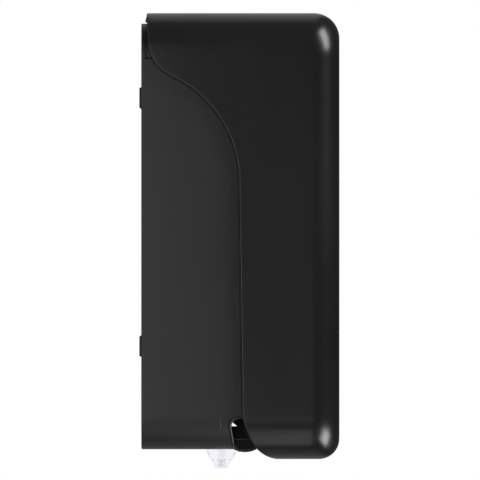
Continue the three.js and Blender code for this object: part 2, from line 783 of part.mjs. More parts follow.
function sightWindow() {
  const { half, low, high, flange, inset } = WINDOW;
  const lens = roundedRectangle(-half + GAP, half - GAP, low + GAP, high - GAP, half - GAP);
  const rim = roundedRectangle(-half - flange, half + flange, low - flange, high + flange, half + flange);
  const inside = COVER.front + COVER_WALL + GAP;
  return join(prismY(lens, COVER.front + inset, inside + 0.5), prismY(rim, inside, inside + 1.4));
}

function lockBody() {
  const { body, shoulder, bore, bottom, y } = LOCK;
  const under = COVER.high - COVER_WALL - GAP;
  const profile = [
    [bore, bottom],
    [body, bottom],
    [body, under - 2],
    [shoulder, under - 2],
    [shoulder, under],
    [body, under],
    [body, COVER.high - GAP],
    [bore, COVER.high - GAP],
  ];
  return ring(profile, y);
}

function lockBarrel() {
  const { bore, bottom, y } = LOCK;
  const top = COVER.high - 0.8;
  const r = bore - 0.12;
  const barrel = rodZ(r, bottom - 1.5, top, 0, y);
  const keyway = box(-3.2, 3.2, y - 0.7, y + 0.7, top - 3, top + 1);
  return cut(barrel, keyway, rodZ(1.7, bottom - 3, bottom + 6, 0, y, 16));
}

// The cam at rest points along +X and is clear of the keeper. A quarter turn brings its wide head
// round behind the keeper's prong.
function lockCam() {
  const { bottom, cam, y } = LOCK;
  const top = bottom - 1.5 - GAP;
  const arm = box(0, cam, y - 2.5, y + 2.5, top - 2, top);
  const head = box(cam - 4.5, cam, y - 6, y + 6, top - 2, top);
  const eye = rodZ(5, top - 2, top, 0, y);
  return cut(join(arm, head, eye), rodZ(1.8, top - 3, top + 1, 0, y, 16));
}

function camScrew() {
  const { bottom, y } = LOCK;
  const under = bottom - 1.5 - 2 * GAP - 2;
  const head = rodZ(3.2, under - 1.8, under, 0, y);
  const shank = rodZ(1.4, under - 0.5, bottom + 5, 0, y, 16);
  return cut(join(head, shank), box(-2.4, 2.4, y - 0.4, y + 0.4, under - 3, under - 1));
}

function latchKeeper() {
  const roof = HOUSING.high - HOUSING_WALL - GAP;
  const front = -18;
  return join(
    box(-13, 13, front, -5, roof - 1.5, roof),
    box(-10, -3.4, front, front + 1.8, LOCK.bottom - 6, roof - 0.2),
  );
}

// ---- Assembly -----------------------------------------------------------------------------------

add("rear_housing", rearHousing(), "housing");
add("upper_wall_pad", wallPad(0), "rubber");
add("lower_wall_pad", wallPad(PAD.lowerZ), "rubber");
add("pump_chassis", pumpChassis(), "chassis");
const screwPlaces = SCREWS.z.flatMap((z) => [[-SCREWS.x, z], [SCREWS.x, z]]);
screwPlaces.forEach(([x, z], i) => add(`chassis_screw_${i + 1}`, chassisScrew(x, z), "steel"));
add("latch_keeper", latchKeeper(), "steel");
add("reservoir_bottle", reservoirBottle(), "bottle");
add("neck_gasket", neckGasket(), "silicone");
add("bottle_collar", bottleCollar(), "translucent");
add("pump_cylinder", pumpCylinder(), "translucent");
add("inlet_ball", inletBall(), "steel");
add("pump_spring", pumpSpring(), "steel");
add("piston_rod", pistonRod(), "translucent");
add("piston_seal", pistonSeal(), "silicone");
add("nozzle", nozzle(), "translucent");
add("outlet_valve", outletValve(), "silicone");
add("dispense_lever", dispenseLever(), "lever");
add("lever_pin", leverPin(), "steel");
add("front_cover", frontCover(), "cover");
add("hinge_pin_left", hingePin(-1), "steel");
add("hinge_pin_right", hingePin(1), "steel");
add("push_paddle", pushPaddle(), "paddle");
add("paddle_pin", paddlePin(), "steel");
add("sight_window", sightWindow(), "clear");
add("lock_body", lockBody(), "steel");
add("lock_barrel", lockBarrel(), "steel");
add("lock_cam", lockCam(), "steel");
add("cam_screw", camScrew(), "steel");

export default group;
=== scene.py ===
import json
import math

import bmesh
import bpy
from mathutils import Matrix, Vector


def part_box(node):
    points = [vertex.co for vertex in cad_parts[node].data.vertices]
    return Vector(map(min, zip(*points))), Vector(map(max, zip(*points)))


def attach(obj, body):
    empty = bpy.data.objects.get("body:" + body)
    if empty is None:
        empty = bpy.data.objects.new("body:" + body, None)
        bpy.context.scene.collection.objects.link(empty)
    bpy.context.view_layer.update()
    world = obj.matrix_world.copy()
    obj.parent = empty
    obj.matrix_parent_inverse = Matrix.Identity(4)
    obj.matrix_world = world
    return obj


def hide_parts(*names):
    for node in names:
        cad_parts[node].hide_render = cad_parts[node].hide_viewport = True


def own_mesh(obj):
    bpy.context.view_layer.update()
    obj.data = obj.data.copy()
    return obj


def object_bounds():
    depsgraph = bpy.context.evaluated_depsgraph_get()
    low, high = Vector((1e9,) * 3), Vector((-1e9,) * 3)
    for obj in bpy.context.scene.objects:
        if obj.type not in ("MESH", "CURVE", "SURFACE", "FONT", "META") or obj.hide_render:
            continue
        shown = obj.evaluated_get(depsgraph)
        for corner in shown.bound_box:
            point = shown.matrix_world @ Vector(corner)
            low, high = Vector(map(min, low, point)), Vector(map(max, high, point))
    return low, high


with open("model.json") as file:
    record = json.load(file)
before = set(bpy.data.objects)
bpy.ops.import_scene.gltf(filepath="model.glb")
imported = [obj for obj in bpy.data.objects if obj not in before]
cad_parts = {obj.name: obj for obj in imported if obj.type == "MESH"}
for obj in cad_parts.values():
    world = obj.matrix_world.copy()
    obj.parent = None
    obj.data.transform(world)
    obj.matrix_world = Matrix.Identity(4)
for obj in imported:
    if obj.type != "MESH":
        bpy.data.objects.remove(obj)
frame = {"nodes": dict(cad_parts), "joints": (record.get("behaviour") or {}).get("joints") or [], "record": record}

CAD_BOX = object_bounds()
METRE = 1000.0  # millimetres in a metre


# ---- Places taken from the frame ------------------------------------------------------------------

def box_mm(node):
    """The lowest and highest corner of a CAD node, in millimetres."""
    low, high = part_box(node)
    return low * METRE, high * METRE


COVER_LOW, COVER_HIGH = box_mm("front_cover")
HOUSING_HIGH = box_mm("rear_housing")[1]
PADDLE_LOW, PADDLE_HIGH = box_mm("push_paddle")
NOZZLE_LOW, NOZZLE_HIGH = box_mm("nozzle")
BOTTLE_LOW, BOTTLE_HIGH = box_mm("reservoir_bottle")
COLLAR_LOW, COLLAR_HIGH = box_mm("bottle_collar")
WINDOW_LOW, WINDOW_HIGH = box_mm("sight_window")
LOCK_LOW, LOCK_HIGH = box_mm("lock_body")
BARREL_LOW, BARREL_HIGH = box_mm("lock_barrel")
NOZZLE_Y = (NOZZLE_LOW.y + NOZZLE_HIGH.y) / 2
LOCK_Y = (LOCK_LOW.y + LOCK_HIGH.y) / 2

JOINT_AT = {j["name"]: Vector(j["pos_m"]) * METRE for j in frame["joints"] if "pos_m" in j}
HINGE_AT = JOINT_AT["cover_hinge"]
PADDLE_PIN_AT = JOINT_AT["paddle_push"]


# ---- Mesh helpers ---------------------------------------------------------------------------------

def mesh_object(name, points, faces):
    """A new object from points in millimetres, with its faces turned outwards."""
    mesh = bpy.data.meshes.new(name)
    mesh.from_pydata([Vector(p) / METRE for p in points], [], faces)
    work = bmesh.new()
    work.from_mesh(mesh)
    bmesh.ops.remove_doubles(work, verts=work.verts, dist=1e-6)
    bmesh.ops.recalc_face_normals(work, faces=work.faces)
    work.to_mesh(mesh)
    work.free()
    made = bpy.data.objects.new(name, mesh)
    bpy.context.scene.collection.objects.link(made)
    return made


def skin(name, rings, closed_path=False):
    """Rings of points skinned one to the next. An open path is capped at both ends."""
    count = len(rings[0])
    points = [p for ring in rings for p in ring]
    faces = []
    spans = len(rings) if closed_path else len(rings) - 1
    for r in range(spans):
        here, there = r * count, ((r + 1) % len(rings)) * count
        for i in range(count):
            j = (i + 1) % count
            faces.append((here + i, here + j, there + j, there + i))
    if not closed_path:
        faces.append(tuple(range(count)))
        faces.append(tuple(range(len(points) - 1, len(points) - 1 - count, -1)))
    return mesh_object(name, points, faces)


def boolean(target, tool, operation="DIFFERENCE"):
    """Cuts or joins for good, and uses the tool up."""
    modifier = target.modifiers.new("boolean", "BOOLEAN")
    modifier.operation = operation
    modifier.solver = "MANIFOLD"
    modifier.object = tool
    depsgraph = bpy.context.evaluated_depsgraph_get()
    made = bpy.data.meshes.new_from_object(target.evaluated_get(depsgraph))
    target.modifiers.clear()
    target.data = made
    bpy.data.objects.remove(tool)
    return target


def cut(target, *tools):
    """Takes each tool's shape out of the target."""
    for tool in tools:
        boolean(target, tool)
    return target


def join(target, *tools):
    """Makes one closed mesh of the target and the tools."""
    for tool in tools:
        boolean(target, tool, "UNION")
    return target


def smooth(piece, angle=32, bevel=0.0):
    """Smooth shading with sharp edges past an angle, and edges rounded by `bevel` millimetres."""
    mesh = piece.data
    mesh.shade_smooth()
    mesh.set_sharp_from_angle(angle=math.radians(angle))
    if bevel:
        modifier = piece.modifiers.new("edges", "BEVEL")
        modifier.width = bevel / METRE
        modifier.segments = 2
        modifier.limit_method = "ANGLE"
        modifier.angle_limit = math.radians(angle)
        modifier.miter_outer = "MITER_ARC"
        modifier.harden_normals = True
    weighted = piece.modifiers.new("normals", "WEIGHTED_NORMAL")
    weighted.keep_sharp = True
    weighted.weight = 100
    return piece


def arc(centre_u, centre_v, radius, start, end, steps):
    """Points on a circle, from angle start to end in degrees."""
    turns = [math.radians(start + (end - start) * i / steps) for i in range(steps + 1)]
    return [(centre_u + radius * math.cos(t), centre_v + radius * math.sin(t)) for t in turns]


def bezier(p0, p1, p2, p3, steps):
    """Points along a cubic curve, without its first point."""
    points = []
    for i in range(1, steps + 1):
        t = i / steps
        s = 1 - t
        weights = (s ** 3, 3 * s * s * t, 3 * s * t * t, t ** 3)
        points.append(tuple(sum(w * p[k] for w, p in zip(weights, (p0, p1, p2, p3))) for k in (0, 1)))
    return points


def rounded_rectangle(low_u, high_u, low_v, high_v, radius, steps=12):
    """An outline with a quarter circle at each corner."""
    return (
        arc(high_u - radius, high_v - radius, radius, 0, 90, steps)
        + arc(low_u + radius, high_v - radius, radius, 90, 180, steps)
        + arc(low_u + radius, low_v + radius, radius, 180, 270, steps)
        + arc(high_u - radius, low_v + radius, radius, 270, 360, steps)
    )


def rounded_corners(points, radius, steps=4):
    """An outline with each of its corners turned into a short curve."""
    made = []
    count = len(points)
    for i, here in enumerate(points):
        here = Vector(here)
        before, after = Vector(points[i - 1]) - here, Vector(points[(i + 1) % count]) - here
        reach = min(radius, before.length * 0.45, after.length * 0.45)
        start, end = here + before.normalized() * reach, here + after.normalized() * reach
        for k in range(steps + 1):
            t = k / steps
            made.append(tuple(start * (1 - t) ** 2 + here * 2 * t * (1 - t) + end * t * t))
    return made


def prism_x(name, outline, low, high):
    """An outline in (y, z) pushed along X."""
    return skin(name, [[(x, y, z) for y, z in outline] for x in (low, high)])


def prism_pair(name, outline, low, high):
    """A prism along X and its mirror image on the other side."""
    return join(prism_x(name, outline, low, high), prism_x(name, outline, -high, -low))


def prism_y(name, outline, low, high):
    """An outline in (x, z) pushed along Y."""
    return skin(name, [[(x, y, z) for x, z in outline] for y in (low, high)])


def rod(name, axis, radius, low, high, u, v, steps=48):
    """A round bar along X, Y or Z. u and v are its place on the other two axes."""
    place = "xyz".index(axis)
    circle = arc(u, v, radius, 0, 360, steps)[:-1]
    return skin(name, [[(*p[:place], along, *p[place:]) for p in circle] for along in (low, high)])


def turned(name, profile, centre_y, steps=96, flute=None):
    """A closed (radius, z) outline turned about a vertical axis. `flute` changes a radius by angle."""
    rings = []
    for i in range(steps):
        angle = 2 * math.pi * i / steps
        ring = []
        for radius, z in profile:
            r = flute(radius, z, i) if flute else radius
            ring.append((r * math.cos(angle), centre_y + r * math.sin(angle), z))
        rings.append(ring)
    return skin(name, rings, closed_path=True)


# ---- Materials ------------------------------------------------------------------------------------

def material(name, colour, roughness, **sockets):
    """A shader with its plain values on its own sockets."""
    made = bpy.data.materials.new(name)
    made.use_nodes = True
    shader = made.node_tree.nodes["Principled BSDF"]
    shader.inputs["Base Color"].default_value = (*colour, 1)
    shader.inputs["Roughness"].default_value = roughness
    for socket, value in sockets.items():
        shader.inputs[socket.replace("_", " ")].default_value = value
    return made


def texture(made, kind, scale, stretch=(1, 1, 1), **settings):
    """A texture in the object's own coordinates. Its scale is features in a metre."""
    nodes, links = made.node_tree.nodes, made.node_tree.links
    place = nodes.new("ShaderNodeMapping")
    place.inputs["Scale"].default_value = stretch
    links.new(nodes.new("ShaderNodeTexCoord").outputs["Object"], place.inputs["Vector"])
    pattern = nodes.new(kind)
    pattern.inputs["Scale"].default_value = scale
    for socket, value in settings.items():
        pattern.inputs[socket].default_value = value
    links.new(place.outputs["Vector"], pattern.inputs["Vector"])
    return pattern


def vary(made, pattern, socket, low, high):
    """Lets a texture move one of the shader's numbers between two values."""
    nodes, links = made.node_tree.nodes, made.node_tree.links
    spread = nodes.new("ShaderNodeMapRange")
    spread.inputs["From Min"].default_value = 0.3
    spread.inputs["From Max"].default_value = 0.7
    spread.inputs["To Min"].default_value = low
    spread.inputs["To Max"].default_value = high
    links.new(pattern.outputs[0], spread.inputs["Value"])
    links.new(spread.outputs["Result"], nodes["Principled BSDF"].inputs[socket])


def tint(made, pattern, low, high):
    """Lets a texture move the colour between two values."""
    nodes, links = made.node_tree.nodes, made.node_tree.links
    ramp = nodes.new("ShaderNodeValToRGB")
    ramp.color_ramp.elements[0].position = 0.3
    ramp.color_ramp.elements[1].position = 0.7
    ramp.color_ramp.elements[0].color = (*low, 1)
    ramp.color_ramp.elements[1].color = (*high, 1)
    links.new(pattern.outputs[0], ramp.inputs["Fac"])
    links.new(ramp.outputs["Color"], nodes["Principled BSDF"].inputs["Base Color"])


def bump(made, strength, *layers):
    """Stacks textures as relief. Each layer is (texture, depth in millimetres)."""
    nodes, links = made.node_tree.nodes, made.node_tree.links
    previous = None
    for pattern, depth in layers:
        relief = nodes.new("ShaderNodeBump")
        relief.inputs["Strength"].default_value = strength
        relief.inputs["Distance"].default_value = depth / METRE
        links.new(pattern.outputs[0], relief.inputs["Height"])
        if previous:
            links.new(previous.outputs["Normal"], relief.inputs["Normal"])
        previous = relief
    links.new(previous.outputs["Normal"], nodes["Principled BSDF"].inputs["Normal"])


def moulded_plastic(name, colour, roughness, grain, **sockets):
    """Injection-moulded ABS: a fine spark-eroded grain over a faint unevenness of gloss and shade."""
    made = material(name, colour, roughness, **sockets)
    flow = texture(made, "ShaderNodeTexNoise", 22, stretch=(1, 1, 0.35), Detail=3.0)
    fine = texture(made, "ShaderNodeTexNoise", 2600, Detail=2.0)
    pits = texture(made, "ShaderNodeTexVoronoi", 1500)
    vary(made, flow, "Roughness", roughness - 0.035, roughness + 0.035)
    tint(made, flow, [c * 0.94 for c in colour], [c * 1.06 for c in colour])
    bump(made, 0.35, (fine, grain), (pits, grain * 0.6))
    return made


def metal(name, colour, roughness, stretch=(1, 1, 14)):
    """Plated metal with drawn streaks."""
    made = material(name, colour, roughness, Metallic=1.0)
    streaks = texture(made, "ShaderNodeTexNoise", 420, stretch=stretch, Detail=4.0)
    haze = texture(made, "ShaderNodeTexNoise", 160, Detail=3.0)
    vary(made, haze, "Roughness", roughness * 0.75, roughness * 1.35)
    bump(made, 0.25, (streaks, 0.01))
    return made


def soft_plastic(name, colour, roughness, scatter, **sockets):
    """Faintly clouded plastic. Light goes a little way into it, by the share `scatter`."""
    made = material(name, colour, roughness, Subsurface_Weight=scatter, Subsurface_Scale=0.004,
                    Subsurface_Radius=(1.0, 0.95, 0.9), **sockets)
    cloud = texture(made, "ShaderNodeTexNoise", 45, Detail=4.0)
    fine = texture(made, "ShaderNodeTexNoise", 900, Detail=2.0)
    vary(made, cloud, "Roughness", roughness - 0.05, roughness + 0.05)
    tint(made, cloud, [c * 0.97 for c in colour], colour)
    bump(made, 0.2, (fine, 0.02))
    return made


def rubber(name, colour, roughness):
    """Matt rubber with a fine grain and a patchy bloom."""
    made = material(name, colour, roughness)
    grain = texture(made, "ShaderNodeTexNoise", 1800, Detail=3.0)
    bloom = texture(made, "ShaderNodeTexNoise", 60, Detail=3.0)
    tint(made, bloom, colour, [c * 1.35 for c in colour])
    bump(made, 0.5, (grain, 0.03))
    return made


FINISH = {
    "cover_plastic": moulded_plastic("cover_plastic", (0.0085, 0.0085, 0.0088), 0.31, 0.006),
    "housing_plastic": moulded_plastic("housing_plastic", (0.017, 0.017, 0.0173), 0.42, 0.012),
    "paddle_plastic": moulded_plastic("paddle_plastic", (0.0105, 0.0105, 0.011), 0.36, 0.008),
    "chassis_plastic": moulded_plastic(
        "chassis_plastic", (0.0028, 0.0028, 0.003), 0.6, 0.016, Specular_IOR_Level=0.17
    ),
    "lever_plastic": moulded_plastic("lever_plastic", (0.07, 0.07, 0.075), 0.48, 0.01),
    "smoked_plastic": material(
        "smoked_plastic", (0.16, 0.165, 0.175), 0.06, Transmission_Weight=0.92, IOR=1.49
    ),
    "pump_plastic": soft_plastic(
        "pump_plastic", (0.91, 0.897, 0.93), 0.34, 0.0, Transmission_Weight=1.0, IOR=1.04
    ),
    "bottle_plastic": soft_plastic("bottle_plastic", (0.83, 0.84, 0.82), 0.42, 0.5),
    "pad_rubber": rubber("pad_rubber", (0.02, 0.02, 0.02), 0.75),
    "silicone": soft_plastic(
        "silicone", (0.93, 0.925, 0.92), 0.4, 0.0, Transmission_Weight=0.9, IOR=1.05
    ),
    "steel": metal("steel", (0.56, 0.57, 0.6), 0.3),
    "lock_metal": metal("lock_metal", (0.6, 0.59, 0.57), 0.2, stretch=(1, 1, 1)),
}


def finish_piece(piece, body, slot, *nodes):
    """Gives a new piece its material and its body, and hides the CAD nodes that it stands for."""
    piece.data.materials.clear()
    piece.data.materials.append(FINISH[slot])
    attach(piece, body)
    if nodes:
        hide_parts(*nodes)
    return piece


# ---- The cover ------------------------------------------------------------------------------------

COVER_HALF = COVER_HIGH.x
COVER_FRONT = COVER_LOW.y
COVER_CORNER = 28.0  # seen from the front
COVER_ROUND = {"side": 19.0, "high": 16.5, "low": 13.3}  # round the front face
COVER_OUTLINE = {
    "half": COVER_HALF, "low": COVER_LOW.z, "high": COVER_HIGH.z,
    "low_corner": COVER_CORNER, "high_corner": COVER_CORNER,
}
COVER_WALL = 2.3
RIM_OUT, RIM_IN = 1.2, 0.5  # how far the rear rim's outer and inner edges are rounded
CORNER_STEPS = 24
ROUND_STEPS = 16
SIDE_PITCH = 1.6  # spacing of the points along the S


def cover_rear_edge():
    """The S that the cover's rear edge follows, as (y, z) points from the top down."""
    top, bottom = COVER_HIGH.z, COVER_LOW.z
    points = [(-4.7, top), (-5.6, 40.0)]
    for curve in (
        ((-5.6, 40.0), (-5.5, 22.5), (-13.1, 17.4), (-26.0, 11.2)),
        ((-26.0, 11.2), (-42.4, 2.0), (-64.8, -20.0), (-64.8, -55.4)),
    ):
        points += bezier(*curve, 60)
    points.append((-67.0, -203.9))
    points += bezier((-67.0, -203.9), (-67.7, -219.0), (-74.8, -234.0), (-88.5, bottom), 60)
    return points


REAR_EDGE = cover_rear_edge()


def rear_edge_y(z):
    """Where the cover's rear edge is at a height."""
    for (y0, z0), (y1, z1) in zip(REAR_EDGE, REAR_EDGE[1:]):
        if z1 <= z <= z0:
            return y0 + (y1 - y0) * (z0 - z) / (z0 - z1)
    return REAR_EDGE[-1][0]


def side_heights():
    """Heights along one straight side of the cover, evenly spaced along the S."""
    high, low = COVER_HIGH.z - COVER_CORNER, COVER_LOW.z + COVER_CORNER
    heights = []
    travelled = 0.0
    for (y0, z0), (y1, z1) in zip(REAR_EDGE, REAR_EDGE[1:]):
        span = math.dist((y0, z0), (y1, z1))
        while travelled <= span:
            z = z0 + (z1 - z0) * travelled / span
            if low + 0.4 < z < high - 0.4:
                heights.append(z)
            travelled += SIDE_PITCH
        travelled -= span
    return heights


def cover_columns():
    """Places round the cover's front view: (corner centre x, corner centre z, cos, sin)."""
    centre_x = COVER_HALF - COVER_CORNER
    top, bottom = COVER_HIGH.z - COVER_CORNER, COVER_LOW.z + COVER_CORNER
    flat = [centre_x * (1 - 2 * i / 12) for i in range(1, 12)]
    heights = side_heights()

    def corner(x, z, start):
        turns = [math.radians(start + 90 * i / CORNER_STEPS) for i in range(CORNER_STEPS + 1)]
        return [(x, z, math.cos(t), math.sin(t)) for t in turns]

    return (
        corner(centre_x, top, 0)
        + [(x, top, 0.0, 1.0) for x in flat]
        + corner(-centre_x, top, 90)
        + [(-centre_x, z, -1.0, 0.0) for z in heights]
        + corner(-centre_x, bottom, 180)
        + [(-x, bottom, 0.0, -1.0) for x in flat]
        + corner(centre_x, bottom, 270)
        + [(centre_x, z, 1.0, 0.0) for z in reversed(heights)]
    )


def inset_at(radius, depth):
    """How far an edge's quarter circle stands in from the side, at a depth behind the front face."""
    return radius - math.sqrt(radius * radius - (radius - depth) ** 2) if depth < radius else 0.0


def cover_point(column, y, side, high, low):
    """A point of the cover at one column and one depth, moved in by the three insets."""
    x, z, across, up = column
    reach = COVER_CORNER - (high if up > 0 else low)
    return (x + (COVER_CORNER - side) * across, y, z + reach * up)


def front_rows(columns, wall):
    """The front face's rounded edge, from the flat face back to the sides, `wall` inside."""
    radii = {key: value - wall for key, value in COVER_ROUND.items()}
    deepest = max(radii.values())
    rows = []
    for step in range(ROUND_STEPS + 1):
        depth = deepest * (1 - math.cos(math.pi / 2 * step / ROUND_STEPS))
        insets = {key: wall + inset_at(radius, depth) for key, radius in radii.items()}
        rows.append([cover_point(c, COVER_FRONT + wall + depth, **insets) for c in columns])
    return rows


def cover_shell():
    """The shell: the outside, the rounded rear rim, and the inside."""
    columns = cover_columns()
    outline = [cover_point(c, 0, 0, 0, 0) for c in columns]
    edge = [rear_edge_y(p[2]) for p in outline]
    slant = []
    for i, y in enumerate(edge):
        j = (i + 1) % len(edge)
        run = math.dist(outline[i], outline[j])
        back = math.dist(outline[i - 1], outline[i])
        slope = (edge[j] - edge[i - 1]) / (run + back)
        slant.append(math.hypot(1, slope))

    def wall_row(inset, start, share, margin):
        """A row on the sides, at a share of the way from y = start to `margin` before the rim."""
        row = []
        for i, column in enumerate(columns):
            end = edge[i] - margin * slant[i]
            row.append(cover_point(column, start + (end - start) * share, inset, inset, inset))
        return row

    start = COVER_FRONT + max(COVER_ROUND.values())
    rows = front_rows(columns, 0.0)
    rows += [wall_row(0.0, start, share, RIM_OUT) for share in (0.25, 0.5, 0.75, 0.9, 0.97, 1)]
    for step in range(1, 6):
        turn = math.pi / 2 * step / 5
        rows.append(wall_row(RIM_OUT * (1 - math.cos(turn)), start, 1, RIM_OUT * (1 - math.sin(turn))))
    for step in range(4):
        turn = math.pi / 2 * step / 3
        inset = COVER_WALL - RIM_IN * (1 - math.sin(turn))
        rows.append(wall_row(inset, start, 1, RIM_IN * (1 - math.cos(turn))))
    rows += [wall_row(COVER_WALL, start, share, RIM_IN) for share in (0.97, 0.75, 0.5, 0.25)]
    rows += reversed(front_rows(columns, COVER_WALL))
    return skin("cover_shell", rows)


def flared_hole(name, low_x, high_x, low_z, high_z, radius, lip):
    """A cutter through the front wall that leaves a rounded lip round the hole."""
    rows = []
    past = COVER_WALL + 2
    for step in range(7):
        turn = math.pi / 2 * step / 6
        grow = lip * (1 - math.sin(turn))
        y = COVER_FRONT + lip * (1 - math.cos(turn))
        rows.append((grow, y))
    rows = [(lip, COVER_FRONT - 5)] + rows + [(0.0, COVER_FRONT + past)]
    rings = []
    for grow, y in rows:
        outline = rounded_rectangle(low_x - grow, high_x + grow, low_z - grow, high_z + grow, radius + grow)
        rings.append([(x, y, z) for x, z in outline])
    return skin(name, rings)


PADDLE_GAP = 0.8
PADDLE_CORNER = 9.0
PADDLE_FACE_TOP = -122.8
WINDOW_SLOT_HALF = 6.0
WINDOW_FLANGE = 3.0
LOCK_RING = 7.0  # outside radius of the lock's body above its flange
LOCK_BORE = 5.0


def lock_hole():
    """A cutter for the lock's hole in the roof, with a rounded lip."""
    radius, lip = LOCK_RING + 0.3, 0.6
    top = COVER_HIGH.z
    wall = [(radius + lip * (1 - math.sin(t)), top - lip * (1 - math.cos(t))) for t in
            [math.pi / 2 * i / 6 for i in range(7)]]
    profile = [(radius + lip, top + 5)] + wall + [(radius, top - COVER_WALL - 4)]
    rings = []
    for r, z in profile:
        rings.append([(x, y, z) for x, y in arc(0, LOCK_Y, r, 0, 360, 64)[:-1]])
    return skin("lock_hole", rings)


def front_cover():
    """The cover's shell with its holes for the paddle, the window and the lock."""
    shell = cover_shell()
    paddle_half = PADDLE_HIGH.x + PADDLE_GAP
    cut(
        shell,
        flared_hole("paddle_hole", -paddle_half, paddle_half, PADDLE_LOW.z - PADDLE_GAP,
                    PADDLE_FACE_TOP + PADDLE_GAP, PADDLE_CORNER + PADDLE_GAP, 0.7),
        flared_hole("window_slot", -WINDOW_SLOT_HALF, WINDOW_SLOT_HALF, WINDOW_LOW.z + WINDOW_FLANGE,
                    WINDOW_HIGH.z - WINDOW_FLANGE, WINDOW_SLOT_HALF, 0.5),
        lock_hole(),
    )
    smooth(shell, angle=40)
    return finish_piece(shell, "cover", "cover_plastic", "front_cover")


HINGE_LUG = {"radius": 6.5, "inner": 35.6, "bore": 2.8, "bore_end": 43.0}
PADDLE_EAR = {"radius": 4.5, "inner": 29.3, "outer": 33.0, "bore": 1.9, "rise": 10.0}
ROOF_LIP = {"half": 20.0, "back": -5.0, "thickness": 3.8, "lean": 1.3, "gap": 1.2}
SUNK = 0.3  # how far a rib or an ear reaches into the wall that it stands on


def hinge_lugs():
    """The lugs on the cover's sides that its hinge pins go through."""
    y, z = HINGE_AT.y, HINGE_AT.z
    radius, inner, end = HINGE_LUG["radius"], HINGE_LUG["inner"], HINGE_LUG["bore_end"]
    lugs = join(
        rod("cover_lugs", "x", radius, inner, COVER_HALF, y, z),
        rod("lug", "x", radius, -COVER_HALF, -inner, y, z),
    )
    within = shrunk(COVER_OUTLINE, COVER_WALL / 2)
    boolean(lugs, block("within", within, 0, COVER_FRONT), "INTERSECT")
    return cut(lugs, rod("bore", "x", HINGE_LUG["bore"], -end, end, y, z))


def paddle_ears():
    """The ears behind the cover's front that hold the paddle's pin."""
    pin, radius, outer = PADDLE_PIN_AT, PADDLE_EAR["radius"], PADDLE_EAR["outer"]
    wall = COVER_FRONT + COVER_WALL - SUNK
    outline = [(wall, pin.z + PADDLE_EAR["rise"])]
    outline += arc(pin.y, pin.z, radius, 90, -90, 24) + [(wall, pin.z - radius)]
    ears = prism_pair("paddle_lugs", outline, PADDLE_EAR["inner"], outer)
    return cut(ears, rod("bore", "x", PADDLE_EAR["bore"], -outer - 2, outer + 2, pin.y, pin.z))


def roof_lip():
    """The lip that hangs from the cover's roof, just in front of its rear edge."""
    root, edge = COVER_HIGH.z - 0.5, HOUSING_HIGH.z + ROOF_LIP["gap"]
    back, lean = ROOF_LIP["back"], ROOF_LIP["lean"]
    front = back - ROOF_LIP["thickness"]
    outline = [(back, root), (back + lean, edge), (front + lean, edge), (front, root)]
    return prism_x("roof_lip", outline, -ROOF_LIP["half"], ROOF_LIP["half"])


def cover_bosses():
    """Inside the cover: the lugs for its hinge pins and the paddle's pin, and the roof's rear lip."""
    lugs, ears, lip = hinge_lugs(), paddle_ears(), roof_lip()
    for piece in (lugs, ears, lip):
        smooth(piece, bevel=0.35)
        finish_piece(piece, "cover", "cover_plastic")


# ---- The rear housing -----------------------------------------------------------------------------

HOUSING = {"half": 46.6, "low": -229.4, "high": 48.4, "low_corner": 24.6, "high_corner": 22.0}
HOUSING_BACK = -1.3
HOUSING_WALL = 2.4
FLANGE_FRONT = HOUSING_BACK - 2.4
LEDGE_Z = 25.8
FAR = 60.0  # outside the object, for cutting tools


def block(name, shape, back, front, rounding=0.0):
    """A block with rounded corners in front view, its rear edge rounded."""
    rings = []
    steps = 6 if rounding else 0
    for step in range(steps + 1):
        turn = math.pi / 2 * step / steps if steps else math.pi / 2
        rings.append((rounding * (1 - math.sin(turn)), back - rounding * (1 - math.cos(turn))))
    rings.append((0.0, front))
    made = []
    for inset, y in rings:
        outline = []
        for quarter in range(4):
            right, upper = quarter in (0, 3), quarter < 2
            corner = shape["high_corner"] if upper else shape["low_corner"]
            x = (1 if right else -1) * (shape["half"] - corner)
            z = shape["high"] - corner if upper else shape["low"] + corner
            steps_here = CORNER_STEPS if corner > 5 else 4
            outline += arc(x, z, corner - inset, 90 * quarter, 90 * quarter + 90, steps_here)
        made.append([(x, y, z) for x, z in outline])
    return skin(name, made)


def shrunk(shape, wall):
    """A block's outline made smaller all round."""
    return {
        "half": shape["half"] - wall,
        "low": shape["low"] + wall,
        "high": shape["high"] - wall,
        "low_corner": max(shape["low_corner"] - wall, 0.5),
        "high_corner": max(shape["high_corner"] - wall, 0.5),
    }


def housing_side():
    """The housing's side view: its front edge runs hidden inside the cover."""
    points = [(10, 60), (10, -240), (-76, -240), (-76, -204), (-80, -199), (-80, -58)]
    points += bezier((-80, -58), (-80, -14), (-52, 4), (-34, 18), 24)
    points += bezier((-34, 18), (-22, 27), (-18, 36), (-18, 60), 24)
    return points


def scoop(grow):
    """The outline in (y, z) of the opening in a lower corner, made larger by about `grow`."""
    top, bottom = -209.4 + grow, -229.9 - grow
    points = [(-110, top), (-66.5, top)]
    points += bezier((-66.5, top), (-62.3 + grow * 0.6, top), (-60.0 + grow, -211.5 + grow),
                     (-60.1 + grow, -214.8), 16)
    points.append((-61.7 + grow, -224))
    points += bezier((-61.7 + grow, -224), (-62.6 + grow, -228.6 - grow * 0.4),
                     (-65.8 + grow * 0.5, bottom), (-70, bottom), 16)
    points.append((-110, bottom))
    return points


